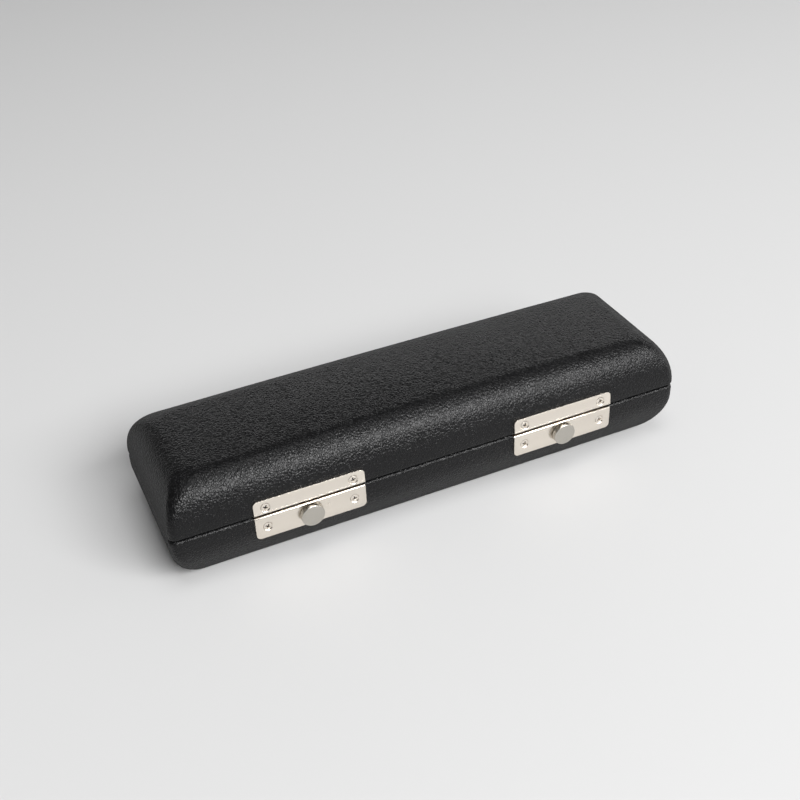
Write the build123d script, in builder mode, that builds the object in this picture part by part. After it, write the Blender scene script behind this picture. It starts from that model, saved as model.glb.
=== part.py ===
from build123d import *
from math import atan, cos, degrees, radians, sin, sqrt
import os

# Piccolo case: a leatherette-covered wooden shell in two halves, hinged at the back,
# with two sliding-knob latches at the front and a plush-covered well block inside.
# Millimetres. X runs along the case, the latches face -Y, and Z is up.
# The origin is on the floor, under the middle of the shell.

# Overall form, measured over the leatherette
case_length = 235.0
case_width = 69.0
case_height = 48.6
seam_height = 26.0
rim_gap = 0.5
corner_radius = 3.5
corner_growth = 0.45
least_radius = 1.2
base_knee = 20.0
base_round_side = 14.5
base_round_end = 16.0
lid_straight = 1.2
lid_round_side = 14.0
lid_round_end = 13.0
rim_round = 0.9
form_steps = 6

# Thicknesses and clearances of the layers
leather = 0.8
wood_wall = 4.4
turn_in = 5.0
glue_line = 0.05
seat_gap = 0.2
swing_gap = 0.35

# Well block and lid lining
block_rise = 2.0
block_floor = 5.0
land_side = 4.3
land_middle = 5.0
land_end = 6.0
body_well_width = 25.0
head_well_length = 132.0
well_corner = 7.0
well_floor_round = 6.0
scoop_width = 28.0
scoop_depth = 9.0
scoop_place = -36.0
lining = 2.2
lining_pad = 4.0

# Latch sheet metal
latch_end = 34.6
latch_length = 48.0
latch_sheet = 0.6
plate_height = 10.8
plate_drop = 0.4
catch_height = 6.3
plate_gap = 1.6
plate_corner = 2.0
fold_round = 0.8
flange_depth = 3.0

# Knob, bolt, catch tongue and spring
knob_shift = -0.2
knob_drop = 5.4
knob_travel = 3.2
knob_radius = 5.05
knob_reach = 2.7
knob_edge = 0.4
knob_chamfer = 0.25
dome_radius = 60.0
neck_radius = 1.6
rivet_radius = 1.1
neck_gap = 0.15
bolt_gap = 0.25
bolt_thickness = 1.7
bolt_left = 3.6
bolt_right = 4.4
bolt_half_height = 2.1
nose_length = 1.4
nose_height = 1.9
release_gap = 0.3
tongue_width = 5.9
tongue_sheet = 0.8
tongue_setback = 0.8
tongue_length = 9.8
notch_depth = 1.6
notch_height = 2.5
cam_chamfer = 1.2
guide_sheet = 0.4
guide_margin = 0.8
guide_ear = 1.5
guide_drop = 1.6
spring_length = 6.8
spring_turns = 7
spring_wire = 0.3
pocket_gap = 0.2
cut_margin = 1.0

# Screws
screw_head_radius = 2.1
screw_shank_radius = 1.0
screw_length = 4.6
screw_inset = 5.1
screw_drop = 5.4
catch_screw_rise = 2.8
screw_seat_gap = 0.05
pilot_gap = 0.05
recess_span = 2.3
recess_width = 0.5
recess_depth = 0.55
recess_taper = 12.0

# Hinges
hinge_end = 42.6
hinge_length = 32.0
hinge_sheet = 0.7
hinge_leaf_height = 8.0
hinge_pin_radius = 0.9
hinge_bore_gap = 0.05
knuckle_count = 5
knuckle_gap = 0.15
hinge_screw_spacing = 20.0
hinge_corner = 1.5
leaf_lap = 1.0

# Heights and places that follow from the sizes above
base_rim = seam_height - rim_gap / 2
lid_rim = seam_height + rim_gap / 2
lid_knee = lid_rim + lid_straight
front = case_width / 2
skin = leather + wood_wall
cavity_offset = skin + seat_gap
latch_centre = case_length / 2 - latch_end - latch_length / 2
hinge_centre = case_length / 2 - hinge_end - hinge_length / 2
plate_top = seam_height - plate_drop
catch_low = plate_top + plate_gap
plate_low = plate_top - plate_height
knob_height = plate_top - knob_drop
knuckle_radius = hinge_pin_radius + hinge_bore_gap + hinge_sheet
SIDES = {"left": -1, "right": 1}


def lid_inset(height):
    """How far the lid's front wall has leaned in at a height above its rim."""
    share = max(height - lid_straight, 0) / (case_height - lid_knee)
    return lid_round_side * (1 - sqrt(1 - share**2))


def leaning_plane(side, middle, reach):
    """Plane touching the lid's wall at a height above its rim; side is -1 in front, 1 behind."""
    tilt = atan((lid_inset(middle + reach) - lid_inset(middle - reach)) / (2 * reach))
    place = (0, side * (front - lid_inset(middle) + glue_line), lid_rim + middle)
    return Plane(place, x_dir=(-side, 0, 0), z_dir=(0, side * cos(tilt), sin(tilt)))


# Planes that the latch and hinge plates lie on: local x runs along the case, local y upwards
FRONT = Plane.XZ.offset(front)
BACK = Plane((0, front, 0), x_dir=(-1, 0, 0), z_dir=(0, 1, 0))
leaf_gap = knuckle_radius + knuckle_gap
LID_FRONT = leaning_plane(-1, catch_low - lid_rim + catch_height / 2, catch_height / 4)
LID_BACK = leaning_plane(1, seam_height + leaf_gap - lid_rim + hinge_leaf_height / 2, hinge_leaf_height / 4)


def plan(offset, inset_end=0.0, inset_side=0.0):
    """Rounded-rectangle outline of the case at one height, offset inwards from the leatherette."""
    radius = corner_radius + corner_growth * min(inset_end, inset_side) - offset
    length = case_length - 2 * (offset + inset_end)
    width = case_width - 2 * (offset + inset_side)
    return RectangleRounded(length, width, max(radius, least_radius))


def prism(offset, low, high):
    """Upright block with the case's plan between two heights."""
    with BuildPart() as block:
        with BuildSketch(Plane.XY.offset(low)):
            plan(offset)
        extrude(amount=high - low)
    return block.part


def rounded_form(offset, rim, knee, tip, round_end, round_side):
    """Solid of one layer: straight from its rim to its knee, then a quarter ellipse to its flat tip."""
    with BuildPart() as form:
        for step in range(form_steps + 1):
            angle = radians(90 * step / form_steps)
            share = 1 - cos(angle)
            with BuildSketch(Plane.XY.offset(knee + (tip - knee) * sin(angle))):
                plan(offset, (round_end - offset) * share, (round_side - offset) * share)
        loft()
        with BuildSketch(Plane.XY.offset(knee)):
            plan(offset)
        extrude(amount=rim - knee)
    return form.part


def base_form(offset, rim=base_rim):
    """Solid form of the base, offset inwards from the leatherette."""
    return rounded_form(offset, rim, base_knee, offset, base_round_end, base_round_side)


def lid_form(offset, rim=lid_rim):
    """Solid form of the lid, offset inwards from the leatherette."""
    return rounded_form(offset, rim, lid_knee, case_height - offset, lid_round_end, lid_round_side)


def screw():
    """Countersunk cross-head wood screw: head top at the origin, point towards -Z."""
    cone = screw_head_radius - screw_shank_radius
    with BuildPart() as body:
        with BuildSketch(Plane.XZ):
            with BuildLine():
                Polyline(
                    (0, 0),
                    (screw_head_radius, 0),
                    (screw_shank_radius, -cone),
                    (screw_shank_radius, -screw_length + screw_shank_radius),
                    (0, -screw_length),
                    close=True,
                )
            make_face()
        revolve(axis=Axis.Z)
        with BuildSketch(Plane.XY):
            Rectangle(recess_span, recess_width)
            Rectangle(recess_width, recess_span)
        extrude(amount=-recess_depth, taper=recess_taper, mode=Mode.SUBTRACT)
    return body.part


def screw_bore():
    """Space that one screw takes in the sheet, the leatherette and the wood."""
    head = screw_head_radius + screw_seat_gap
    shank = screw_shank_radius + pilot_gap
    with BuildPart() as space:
        with BuildSketch(Plane.XZ):
            with BuildLine():
                Polyline(
                    (0, screw_seat_gap),
                    (head, screw_seat_gap),
                    (head, 0),
                    (shank, -(head - shank)),
                    (shank, -screw_length - pilot_gap),
                    (0, -screw_length - pilot_gap),
                    close=True,
                )
            make_face()
        revolve(axis=Axis.Z)
    return space.part


SCREW = screw()
BORE = screw_bore()


def latch_screw_places(side):
    """Head centres of one latch's two base screws, on the face of its plate."""
    half = latch_length / 2 - screw_inset
    face = FRONT.offset(latch_sheet)
    return [face * Location((side * latch_centre + x, plate_top - screw_drop)) for x in (-half, half)]


def catch_screw_places(side):
    """Head centres of one latch's two lid screws, on the face of its catch plate."""
    half = latch_length / 2 - screw_inset
    face = LID_FRONT.offset(latch_sheet)
    rise = catch_screw_rise - catch_height / 2
    return [face * Location((side * latch_centre + x, rise)) for x in (-half, half)]


def leaf_screw_places(plane, side, height):
    """Head centres of the two screws in one hinge leaf."""
    half = hinge_screw_spacing / 2
    face = plane.offset(hinge_sheet)
    return [face * Location((-side * hinge_centre + x, height)) for x in (-half, half)]


low_leaf_middle = seam_height - leaf_gap - hinge_leaf_height / 2
BASE_LATCH_PLACES = [p for side in SIDES.values() for p in latch_screw_places(side)]
LID_LATCH_PLACES = [p for side in SIDES.values() for p in catch_screw_places(side)]
BASE_HINGE_PLACES = [p for side in SIDES.values() for p in leaf_screw_places(BACK, side, low_leaf_middle)]
LID_HINGE_PLACES = [p for side in SIDES.values() for p in leaf_screw_places(LID_BACK, side, 0)]


def finish(piece, name):
    """Label a finished piece and write it."""
    piece.part.label = name
    export_step(piece.part, f"parts/{name}.step")


os.makedirs("parts", exist_ok=True)

# Latch stations, measured from the middle of a latch
knob_x = knob_shift
tongue_right = knob_x - bolt_left - nose_length - release_gap
tongue_left = tongue_right - tongue_width
guide_left = tongue_left - guide_margin
guide_right = knob_x + bolt_right + spring_length + guide_sheet
guide_low = knob_height - bolt_half_height - guide_drop
guide_depth = bolt_gap + bolt_thickness + bolt_gap + guide_sheet
pocket_left = guide_left - guide_ear - pocket_gap
pocket_right = guide_right + guide_ear + pocket_gap
pocket_low = guide_low - pocket_gap
pocket_depth = guide_depth + pocket_gap


def wall_box(x_low, x_high, depth, z_low, z_high):
    """Cutter for the front wall, from a little outside it to a depth inside it."""
    with BuildPart() as block:
        with BuildSketch(FRONT.offset(cut_margin)):
            with Locations(((x_low + x_high) / 2, (z_low + z_high) / 2)):
                Rectangle(x_high - x_low, z_high - z_low)
        extrude(amount=-(depth + cut_margin))
    return block.part


def cut_base_latches():
    """Take each latch's pocket and its plate's flange seat out of the base."""
    seat_half = latch_length / 2 + pocket_gap
    for side in SIDES.values():
        middle = side * latch_centre
        pocket = wall_box(middle + pocket_left, middle + pocket_right, pocket_depth, pocket_low, seam_height)
        seat = wall_box(middle - seat_half, middle + seat_half, flange_depth + pocket_gap,
                        plate_top - latch_sheet - glue_line, seam_height)
        add(pocket, mode=Mode.SUBTRACT)
        add(seat, mode=Mode.SUBTRACT)


catch_flange = tongue_setback + tongue_sheet


def cut_lid_latches():
    """Take each catch plate's flange seat out of the lid's rim."""
    seat_half = latch_length / 2 + pocket_gap
    for side in SIDES.values():
        middle = side * latch_centre
        seat = wall_box(middle - seat_half, middle + seat_half, catch_flange + pocket_gap,
                        seam_height, catch_low + latch_sheet + glue_line)
        add(seat, mode=Mode.SUBTRACT)


def cut_screws(places):
    """Take the screws' space out of the piece being made."""
    with Locations(*places):
        add(BORE, mode=Mode.SUBTRACT)


# Base shell: moulded wood, with a rebate inside the rim for the turned-in leatherette
with BuildPart() as base_shell:
    add(base_form(leather + glue_line, base_rim - leather - glue_line))
    add(base_form(skin), mode=Mode.SUBTRACT)
    add(prism(skin - leather - glue_line, base_rim - turn_in - glue_line, base_rim), mode=Mode.SUBTRACT)
    cut_base_latches()
    cut_screws(BASE_LATCH_PLACES + BASE_HINGE_PLACES)
finish(base_shell, "base_shell")

# Base cover: leatherette over the outside, round the rim and turned in
with BuildPart() as base_cover:
    add(base_form(0))
    rim_face = base_cover.faces().sort_by(Axis.Z)[-1]
    fillet(rim_face.edges(), rim_round)
    add(base_form(leather, base_rim - leather), mode=Mode.SUBTRACT)
    add(prism(skin - leather, base_rim - turn_in, base_rim - leather))
    add(prism(skin, base_rim - turn_in, base_rim), mode=Mode.SUBTRACT)
    cut_base_latches()
    cut_screws(BASE_LATCH_PLACES + BASE_HINGE_PLACES)
finish(base_cover, "base_cover")

# Lid shell: the same moulded wood, upside down
with BuildPart() as lid_shell:
    add(lid_form(leather + glue_line, lid_rim + leather + glue_line))
    add(lid_form(skin), mode=Mode.SUBTRACT)
    add(prism(skin - leather - glue_line, lid_rim, lid_rim + turn_in + glue_line), mode=Mode.SUBTRACT)
    cut_lid_latches()
    cut_screws(LID_LATCH_PLACES + LID_HINGE_PLACES)
finish(lid_shell, "lid_shell")

# Lid cover
with BuildPart() as lid_cover:
    add(lid_form(0))
    rim_face = lid_cover.faces().sort_by(Axis.Z)[0]
    fillet(rim_face.edges(), rim_round)
    add(lid_form(leather, lid_rim + leather), mode=Mode.SUBTRACT)
    add(prism(skin - leather, lid_rim + leather, lid_rim + turn_in))
    add(prism(skin, lid_rim, lid_rim + turn_in), mode=Mode.SUBTRACT)
    cut_lid_latches()
    cut_screws(LID_LATCH_PLACES + LID_HINGE_PLACES)
finish(lid_cover, "lid_cover")

# Lid lining: plush over a thin pad, thicker under the top
with BuildPart() as lining_hollow:
    add(lid_form(skin + lining))
    with BuildSketch(Plane.XY.offset(case_height - skin - lining_pad)):
        Rectangle(case_length, case_width)
    extrude(amount=case_height, mode=Mode.SUBTRACT)
with BuildPart() as lid_lining:
    add(lid_form(skin + glue_line))
    with BuildSketch(Plane.XY.offset(lid_rim + turn_in + glue_line)):
        Rectangle(case_length, case_width)
    extrude(amount=-case_height, mode=Mode.SUBTRACT)
    add(lining_hollow.part, mode=Mode.SUBTRACT)
finish(lid_lining, "lid_lining")

# Well block: plush-covered, with wells for the body, the head joint and small things
block_top = seam_height + block_rise
cavity_length = case_length - 2 * cavity_offset
cavity_width = case_width - 2 * cavity_offset
row_length = cavity_length - 2 * land_end
head_well_width = cavity_width - 2 * land_side - land_middle - body_well_width
body_row = cavity_width / 2 - land_side - body_well_width / 2
front_row = -cavity_width / 2 + land_side + head_well_width / 2
accessory_length = row_length - head_well_length - land_end
wells = [
    (0, body_row, row_length, body_well_width),
    ((head_well_length - row_length) / 2, front_row, head_well_length, head_well_width),
    ((row_length - accessory_length) / 2, front_row, accessory_length, head_well_width),
]


def build_well(x, y, length, width):
    """Space of one well: rounded in plan, with a round floor edge."""
    with BuildPart() as well:
        with BuildSketch(Plane.XY.offset(block_top)):
            with Locations((x, y)):
                RectangleRounded(length, width, well_corner)
        extrude(amount=cavity_offset + block_floor - block_top)
        fillet(well.faces().sort_by(Axis.Z)[0].edges(), well_floor_round)
    return well.part


with BuildPart() as well_block:
    add(base_form(cavity_offset, base_rim))
    with BuildSketch(Plane.XY.offset(base_rim)):
        plan(cavity_offset)
    extrude(amount=block_top - base_rim)
    fillet(well_block.faces().sort_by(Axis.Z)[-1].edges(), rim_round)
    for well in wells:
        add(build_well(*well), mode=Mode.SUBTRACT)
    with BuildSketch(Plane.XZ.offset(-body_row)):
        with Locations((scoop_place, block_top)):
            Ellipse(scoop_width / 2, scoop_depth)
    extrude(amount=body_row - front_row, mode=Mode.SUBTRACT)
finish(well_block, "well_block")


def build_latch_plate(name, middle):
    """Lower latch plate: face with a knob slot, and a flange folded in over the rim."""
    with BuildPart() as plate:
        with BuildSketch(FRONT):
            with Locations((middle, (plate_low + plate_top) / 2)):
                Rectangle(latch_length, plate_height)
        extrude(amount=latch_sheet)
        with BuildSketch(Plane.XY.offset(plate_top)):
            with Locations((middle, -front - latch_sheet)):
                Rectangle(latch_length, flange_depth + latch_sheet, align=(Align.CENTER, Align.MIN))
        extrude(amount=-latch_sheet)
        fillet(plate.edges().filter_by(Axis.Y).group_by(Axis.Z)[0], plate_corner)
        fillet(plate.edges().filter_by(Axis.X).group_by(Axis.Y)[0].sort_by(Axis.Z)[-1], fold_round)
        with BuildSketch(FRONT):
            with Locations((middle + knob_x + knob_travel / 2, knob_height)):
                SlotCenterToCenter(knob_travel, 2 * (neck_radius + neck_gap))
        extrude(amount=latch_sheet, mode=Mode.SUBTRACT)
        with BuildSketch(Plane.XY.offset(plate_top)):
            with Locations((middle + (tongue_left + tongue_right) / 2, -front + neck_gap)):
                Rectangle(tongue_width + 2 * swing_gap, catch_flange + swing_gap - neck_gap,
                          align=(Align.CENTER, Align.MIN))
        extrude(amount=-latch_sheet, mode=Mode.SUBTRACT)
        cut_screws(BASE_LATCH_PLACES)
    finish(plate, name)


def build_guide(name, middle):
    """Folded tray behind the latch plate, in which the bolt slides, with an ear at each end."""
    tray_middle = middle + (guide_left + guide_right) / 2
    tray_length = guide_right - guide_left
    tray_height = plate_top - latch_sheet - guide_low
    with BuildPart() as guide:
        with BuildSketch(FRONT):
            with Locations((tray_middle, guide_low)):
                Rectangle(tray_length, tray_height, align=(Align.CENTER, Align.MIN))
        extrude(amount=-guide_depth)
        with BuildSketch(FRONT):
            with Locations((tray_middle, guide_low + guide_sheet)):
                Rectangle(tray_length - 2 * guide_sheet, tray_height, align=(Align.CENTER, Align.MIN))
        extrude(amount=-(guide_depth - guide_sheet), mode=Mode.SUBTRACT)
        with BuildSketch(FRONT):
            for x in (guide_left - guide_ear / 2, guide_right + guide_ear / 2):
                with Locations((middle + x, knob_height)):
                    Rectangle(guide_ear, 2 * bolt_half_height)
        extrude(amount=-guide_sheet)
    finish(guide, name)


def build_bolt(name, middle):
    """Sliding bolt: a small die-cast block with a nose, riveted to the knob."""
    x_low = middle + knob_x - bolt_left
    x_high = middle + knob_x + bolt_right
    with BuildPart() as bolt:
        with BuildSketch(FRONT.offset(-bolt_gap)):
            with Locations(((x_low + x_high) / 2, knob_height)):
                Rectangle(x_high - x_low, 2 * bolt_half_height)
            with Locations((x_low, knob_height)):
                Rectangle(nose_length, nose_height, align=(Align.MAX, Align.CENTER))
        extrude(amount=-bolt_thickness)
        with Locations(FRONT.offset(-bolt_gap) * Location((middle + knob_x, knob_height))):
            Hole(rivet_radius + glue_line)
    finish(bolt, name)


def build_knob(name, middle):
    """Turned knob: a low button with a neck through the slot and a rivet in the bolt."""
    axis_place = (middle + knob_x, -front, knob_height)
    seat = latch_sheet + neck_gap
    face = latch_sheet + knob_reach
    crest = knob_radius - knob_edge
    dome_drop = dome_radius - sqrt(dome_radius**2 - crest**2)
    with BuildPart() as knob:
        with BuildSketch(Plane(axis_place, x_dir=(1, 0, 0), z_dir=(0, 0, -1))):
            with BuildLine():
                Polyline(
                    (0, face),
                    (0, -bolt_gap - bolt_thickness),
                    (rivet_radius, -bolt_gap - bolt_thickness),
                    (rivet_radius, -bolt_gap),
                    (neck_radius, -bolt_gap),
                    (neck_radius, seat),
                    (knob_radius - knob_chamfer, seat),
                    (knob_radius, seat + knob_chamfer),
                    (knob_radius, face - dome_drop - knob_edge),
                )
                RadiusArc((knob_radius, face - dome_drop - knob_edge), (crest, face - dome_drop), -knob_edge)
                RadiusArc((crest, face - dome_drop), (0, face), -dome_radius)
            make_face()
        revolve(axis=Axis(axis_place, (0, -1, 0)))
    finish(knob, name)


def build_spring(name, middle):
    """Compression spring between the bolt and the end of the guide."""
    radius = bolt_thickness / 2 - spring_wire / 2
    start = (middle + knob_x + bolt_right + spring_wire, -front + bolt_gap + bolt_thickness / 2, knob_height)
    with BuildPart() as spring:
        with BuildLine() as coil:
            Helix(pitch=(spring_length - 2 * spring_wire) / spring_turns,
                  height=spring_length - 2 * spring_wire, radius=radius, center=start, direction=(1, 0, 0))
        with BuildSketch(Plane(coil.line @ 0, z_dir=coil.line % 0)):
            Circle(spring_wire / 2)
        sweep()
    finish(spring, name)


def build_catch_plate(name, middle):
    """Upper latch plate on the lid, with a flange under the rim and a notched tongue below it."""
    with BuildPart() as plate:
        with BuildSketch(LID_FRONT):
            with Locations((middle, 0)):
                Rectangle(latch_length, catch_height)
        extrude(amount=latch_sheet)
        fillet(plate.edges().filter_by(Axis((0, 0, 0), LID_FRONT.z_dir)).group_by(Axis.Z)[-1], plate_corner)
        foot = LID_FRONT.offset(latch_sheet) * Location((middle, -catch_height / 2))
        with BuildSketch(Plane.XY.offset(catch_low)):
            with Locations((middle, foot.position.Y)):
                Rectangle(latch_length, -front + catch_flange - foot.position.Y,
                          align=(Align.CENTER, Align.MIN))
        extrude(amount=latch_sheet)
        with BuildSketch(FRONT.offset(-tongue_setback)):
            with Locations((middle + tongue_right, catch_low + latch_sheet)):
                Rectangle(tongue_width, tongue_length + latch_sheet, align=(Align.MAX, Align.MAX))
            with Locations((middle + tongue_right, knob_height)):
                Rectangle(notch_depth, notch_height, align=(Align.MAX, Align.CENTER), mode=Mode.SUBTRACT)
        extrude(amount=-tongue_sheet)
        tip = plate.edges().filter_by(Axis.Y).group_by(Axis.Z)[0]
        chamfer(tip.sort_by(Axis.X)[-1], cam_chamfer)
        cut_screws(LID_LATCH_PLACES)
    finish(plate, name)


for side_name, side in SIDES.items():
    middle = side * latch_centre
    build_latch_plate(f"latch_plate_{side_name}", middle)
    build_guide(f"latch_guide_{side_name}", middle)
    build_bolt(f"bolt_{side_name}", middle)
    build_knob(f"knob_{side_name}", middle)
    build_spring(f"latch_spring_{side_name}", middle)
    build_catch_plate(f"catch_plate_{side_name}", middle)


def build_screws(name, places):
    """A set of like screws, each in its place."""
    with BuildPart() as screws:
        with Locations(*places):
            add(SCREW)
    finish(screws, name)


build_screws("base_latch_screws", BASE_LATCH_PLACES)
build_screws("lid_latch_screws", LID_LATCH_PLACES)
build_screws("base_hinge_screws", BASE_HINGE_PLACES)
build_screws("lid_hinge_screws", LID_HINGE_PLACES)

hinge_axis_y = front + glue_line + knuckle_radius
knuckle_pitch = (hinge_length + knuckle_gap) / knuckle_count


def build_leaf(name, middle, plane, leaf_middle, turn):
    """One hinge leaf: turn is -1 for the leaf below the pin and 1 for the leaf above it."""
    own = range(0 if turn < 0 else 1, knuckle_count, 2)
    starts = [middle - hinge_length / 2 + knuckle_pitch * i for i in own]
    width = knuckle_pitch - knuckle_gap
    with BuildPart() as leaf:
        with BuildSketch(plane):
            with Locations((-middle, leaf_middle)):
                Rectangle(hinge_length, hinge_leaf_height)
        extrude(amount=hinge_sheet)
        corners = leaf.edges().filter_by(Axis((0, 0, 0), plane.z_dir)).group_by(Axis.Z)
        fillet(corners[0 if turn < 0 else -1], hinge_corner)
        lap = Location((0, leaf_middle - turn * (hinge_leaf_height / 2 - leaf_lap)))
        inner = (plane * lap).position
        outer = (plane.offset(hinge_sheet) * lap).position
        wall = hinge_axis_y - knuckle_radius
        for start in starts:
            with BuildSketch(Plane.YZ.offset(start)):
                with Locations((hinge_axis_y, seam_height)):
                    Circle(knuckle_radius)
                Polygon(
                    (wall, seam_height),
                    (wall + hinge_sheet, seam_height),
                    (outer.Y, outer.Z),
                    (inner.Y, inner.Z),
                    align=None,
                )
            extrude(amount=width)
        with BuildSketch(Plane.YZ.offset(middle - hinge_length)):
            with Locations((hinge_axis_y, seam_height)):
                Circle(hinge_pin_radius + hinge_bore_gap)
        extrude(amount=2 * hinge_length, mode=Mode.SUBTRACT)
        cut_screws(BASE_HINGE_PLACES if turn < 0 else LID_HINGE_PLACES)
    finish(leaf, name)


def build_pin(name, middle):
    """Hinge pin through all the knuckles of one hinge."""
    with BuildPart() as pin:
        with BuildSketch(Plane.YZ.offset(middle - hinge_length / 2)):
            with Locations((hinge_axis_y, seam_height)):
                Circle(hinge_pin_radius)
        extrude(amount=hinge_length)
    finish(pin, name)


for side_name, side in SIDES.items():
    middle = side * hinge_centre
    build_leaf(f"hinge_leaf_lower_{side_name}", middle, BACK, low_leaf_middle, -1)
    build_leaf(f"hinge_leaf_upper_{side_name}", middle, LID_BACK, 0, 1)
    build_pin(f"hinge_pin_{side_name}", middle)
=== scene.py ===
"""Piccolo case: leatherette lid and base, nickel latches and hinges, plush wells, on a pale table."""

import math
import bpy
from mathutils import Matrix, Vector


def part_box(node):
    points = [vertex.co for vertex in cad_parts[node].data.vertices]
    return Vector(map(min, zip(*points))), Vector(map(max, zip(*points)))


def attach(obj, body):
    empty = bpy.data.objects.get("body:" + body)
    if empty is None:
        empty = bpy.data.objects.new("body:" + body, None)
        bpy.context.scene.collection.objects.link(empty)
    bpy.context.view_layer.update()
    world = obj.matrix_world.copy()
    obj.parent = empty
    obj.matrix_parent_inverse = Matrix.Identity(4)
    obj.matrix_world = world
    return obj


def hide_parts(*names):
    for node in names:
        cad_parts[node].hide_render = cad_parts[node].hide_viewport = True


bl_info = {
    "name": "Piccolo case",
    "version": (1, 0, 0),
    "blender": (4, 5, 0),
    "location": "View3D > Sidebar > Piccolo case",
    "description": "Builds the visible pieces of a small leatherette instrument case",
    "category": "Object",
}

from collections import namedtuple

import bmesh
import bpy
from bpy.props import FloatProperty, FloatVectorProperty, IntProperty, PointerProperty
from mathutils import Matrix, Vector, noise

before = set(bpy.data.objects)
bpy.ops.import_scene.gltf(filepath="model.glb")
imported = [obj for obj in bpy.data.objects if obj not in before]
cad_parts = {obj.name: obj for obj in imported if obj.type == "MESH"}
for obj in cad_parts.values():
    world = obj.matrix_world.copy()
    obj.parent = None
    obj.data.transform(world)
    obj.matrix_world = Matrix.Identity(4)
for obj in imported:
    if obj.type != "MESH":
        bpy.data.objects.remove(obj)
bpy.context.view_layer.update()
MM = 0.001
# Points closer than this are one point of a CAD mesh
WELD = 0.002 * MM
SIDES = ("left", "right")
CORNERS = ((-1, -1), (1, -1), (1, 1), (-1, 1))

BASE_LOW, BASE_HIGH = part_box("base_cover")
LID_LOW, LID_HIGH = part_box("lid_cover")
LENGTH = BASE_HIGH.x - BASE_LOW.x
WIDTH = BASE_HIGH.y - BASE_LOW.y
HEIGHT = LID_HIGH.z
FRONT = -WIDTH / 2
BASE_RIM = BASE_HIGH.z
LID_RIM = LID_LOW.z
SEAM = (BASE_RIM + LID_RIM) / 2

# A half's form: the heights of its rim, knee and tip, its way from the rim (1 up, -1 down) and its rounding
Half = namedtuple("Half", "rim up rim_round knee tip rounding fullness growth crown")


def linear(hex_colour):
    """Linear RGB of an sRGB hex colour."""
    channels = [int(hex_colour[i:i + 2], 16) / 255 for i in (1, 3, 5)]
    return tuple(c / 12.92 if c <= 0.04045 else ((c + 0.055) / 1.055) ** 2.4 for c in channels)


def length(name, description, default, **more):
    """A length property, given in millimetres and kept in metres."""
    return FloatProperty(name=name, description=description, default=default * MM, subtype="DISTANCE",
                         unit="LENGTH", precision=5, **more)


def colour(name, description, hex_colour):
    """A colour property, given as an sRGB hex value."""
    return FloatVectorProperty(name=name, description=description, default=linear(hex_colour),
                               subtype="COLOR", size=3, min=0, max=1)


def number(name, description, default, **more):
    """A plain number property."""
    return FloatProperty(name=name, description=description, default=default, **more)


def count(name, description, default):
    """A whole number property."""
    return IntProperty(name=name, description=description, default=default)


class CaseForm(bpy.types.PropertyGroup):
    """Sizes of the two halves and their layers."""

    corner_radius: length("Corner radius", "Radius of the upright corners at the seam", 3.5)
    lid_growth: number("Lid corner growth", "How much a corner opens as the lid rounds in", 0.45)
    base_growth: number("Base corner growth", "How much a corner opens as the base rounds in", 0.1)
    least_radius: length("Least radius", "Smallest corner radius of an inner layer", 1.2)
    base_knee: length("Base knee", "Height where the base starts to round", 20.0)
    base_round_side: length("Base side rounding", "How far the base's long sides round in", 12.0)
    base_round_end: length("Base end rounding", "How far the base's ends round in", 14.5)
    lid_straight: length("Lid straight", "Height of the lid's upright wall", 1.2)
    lid_round_side: length("Lid side rounding", "How far the lid's long sides round in", 14.0)
    lid_round_end: length("Lid end rounding", "How far the lid's ends round in", 13.0)
    crown: length("Crown", "Rise of the lid's top from its edges to its middle", 1.6)
    leather: length("Leatherette", "Thickness of the leatherette", 0.8)
    skin: length("Wall", "Thickness of the wall with its leatherette", 5.2)
    turn_in: length("Turn-in", "Depth of the leatherette turned in at the rim", 5.0)
    lid_rim_round: length("Lid rim rounding", "Outer rounding of the lid's rim", 1.1)
    base_rim_round: length("Base rim rounding", "Outer rounding of the base's rim", 1.6)
    lid_fullness: number("Lid fullness", "2 for an ellipse, less for a straighter taper", 2.0)
    base_fullness: number("Base fullness", "2 for an ellipse, less for a straighter taper", 1.75)
    inner_round: length("Inner rim rounding", "Inner rounding of the rim", 0.35)
    unevenness: length("Unevenness", "How far the leatherette lies off a perfect form", 0.07)
    hand_span: length("Unevenness span", "Distance between two of its swells", 26.0)
    long_steps: count("Long steps", "Steps along a long side", 132)
    short_steps: count("Short steps", "Steps along an end", 36)
    corner_steps: count("Corner steps", "Steps round a corner", 12)
    round_steps: count("Rounding steps", "Steps over a rounding", 26)
    rim_steps: count("Rim steps", "Steps over the rim's outer edge", 5)
    edge_steps: count("Edge steps", "Steps over the rim's inner edge", 4)


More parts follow.
